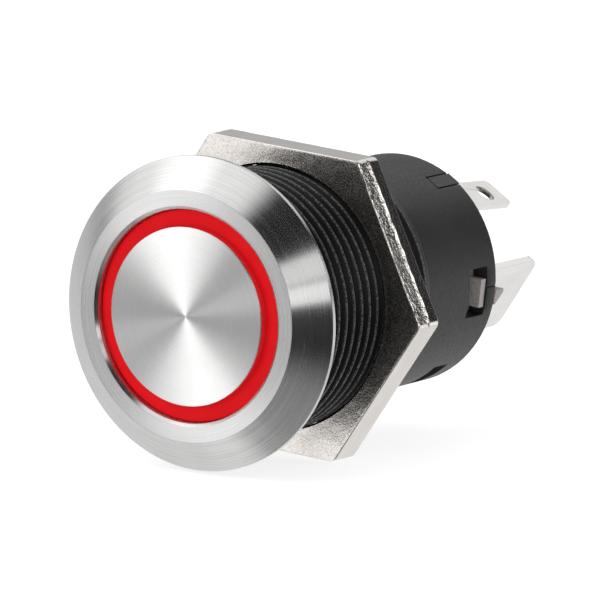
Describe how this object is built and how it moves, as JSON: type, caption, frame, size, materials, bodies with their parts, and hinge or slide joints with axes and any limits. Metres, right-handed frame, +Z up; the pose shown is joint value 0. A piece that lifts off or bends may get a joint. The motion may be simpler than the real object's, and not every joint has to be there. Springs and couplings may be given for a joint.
{
  "type": "illuminated push button",
  "caption": "Round metal-headed panel push button with a lit ring, threaded barrel, hexagon nut and blade terminals.",
  "frame": {"origin": "on the push axis, in the plane where the head's underside rests on the panel", "axes": "+Y along the push direction, from the cap to the terminals; +Z up; +X to the right seen from the front"},
  "size_m": [0.0252, 0.0361, 0.023],
  "materials": {
    "head_steel": "face finely turned, bevel brushed round the axis",
    "cap_steel": "turned, with circular brushing",
    "red_lens": "translucent red, glossy",
    "seal_rubber": "matte",
    "barrel_black": "black anodised, satin",
    "nut_nickel": "nickel plated over a grainy casting",
    "white_plastic": "natural moulded",
    "spring_steel": "drawn wire",
    "board_green": "solder mask",
    "led_white": "clear resin over a pale body",
    "resistor_dark": "glazed ceramic",
    "base_plastic": "satin moulded",
    "block_plastic": "satin moulded",
    "tinned_blade": "bright tin over brass",
    "contact_silver": "silver alloy",
    "bridge_brass": "stamped"
  },
  "bodies": {
    "casing": {"bezel": "head_steel", "threaded_barrel": "barrel_black", "panel_seal": "seal_rubber", "base_shell": "base_plastic", "terminal_block": "block_plastic", "guide_frame": "white_plastic", "led_board": "board_green", "leds": "led_white", "led_resistor": "resistor_dark", "contact_terminal_a": "tinned_blade", "contact_terminal_b": "tinned_blade", "fixed_contacts": "contact_silver", "led_terminal_a": "tinned_blade", "led_terminal_b": "tinned_blade", "return_spring": "spring_steel"},
    "button": {"button_cap": "cap_steel", "ring_lens": "red_lens", "button_seal": "seal_rubber", "plunger": "white_plastic", "contact_spring": "spring_steel"},
    "bridge": {"contact_bridge": "bridge_brass", "bridge_contacts": "contact_silver"},
    "nut": {"hex_nut": "nut_nickel"}
  },
  "joints": [
    {"name": "button_press", "type": "slide", "parent": "casing", "child": "button", "axis": [0, 1, 0], "range_m": [0, 0.0025], "stiffness_N_per_m": 900, "springref_m": -0.002, "deforming": ["return_spring"]},
    {"name": "bridge_follow", "type": "slide", "parent": "casing", "child": "bridge", "axis": [0, 1, 0], "range_m": [0, 0.0015], "deforming": ["contact_spring"]},
    {"name": "nut_travel", "type": "slide", "parent": "casing", "child": "nut", "axis": [0, 1, 0], "range_m": [-0.0077, 0.0035]}
  ],
  "couplings": [
    {"joint": "bridge_follow", "follows": "button_press", "ratio": 0.6}
  ]
}
